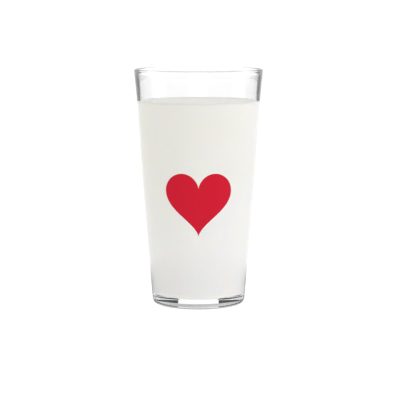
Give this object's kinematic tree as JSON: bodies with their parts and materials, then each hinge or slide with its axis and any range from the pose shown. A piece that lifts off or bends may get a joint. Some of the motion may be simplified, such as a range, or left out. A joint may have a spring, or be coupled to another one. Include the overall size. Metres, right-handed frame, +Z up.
{
  "type": "glass of milk",
  "caption": "Tapered clear drinking glass with a thick base, filled with cold white milk to a finger's width below its rounded lip.",
  "frame": {"origin": "centre of the foot, on the surface that the tumbler stands on", "axes": "+Z up the tumbler's axis towards the lip, -Y towards the front with the printed mark, +X to the viewer's right"},
  "size_m": [0.0816, 0.0816, 0.15],
  "materials": {
    "clear_glass": "clear pressed soda-lime glass, fire-polished lip, smooth and uncoloured",
    "milk": "opaque white milk with a faint cream tone and a wet, still surface",
    "red_print": "thin fired enamel print, plain red, on the front of the side"
  },
  "bodies": {
    "root": {"glass": "clear_glass", "milk": "milk"}
  },
  "joints": []
}
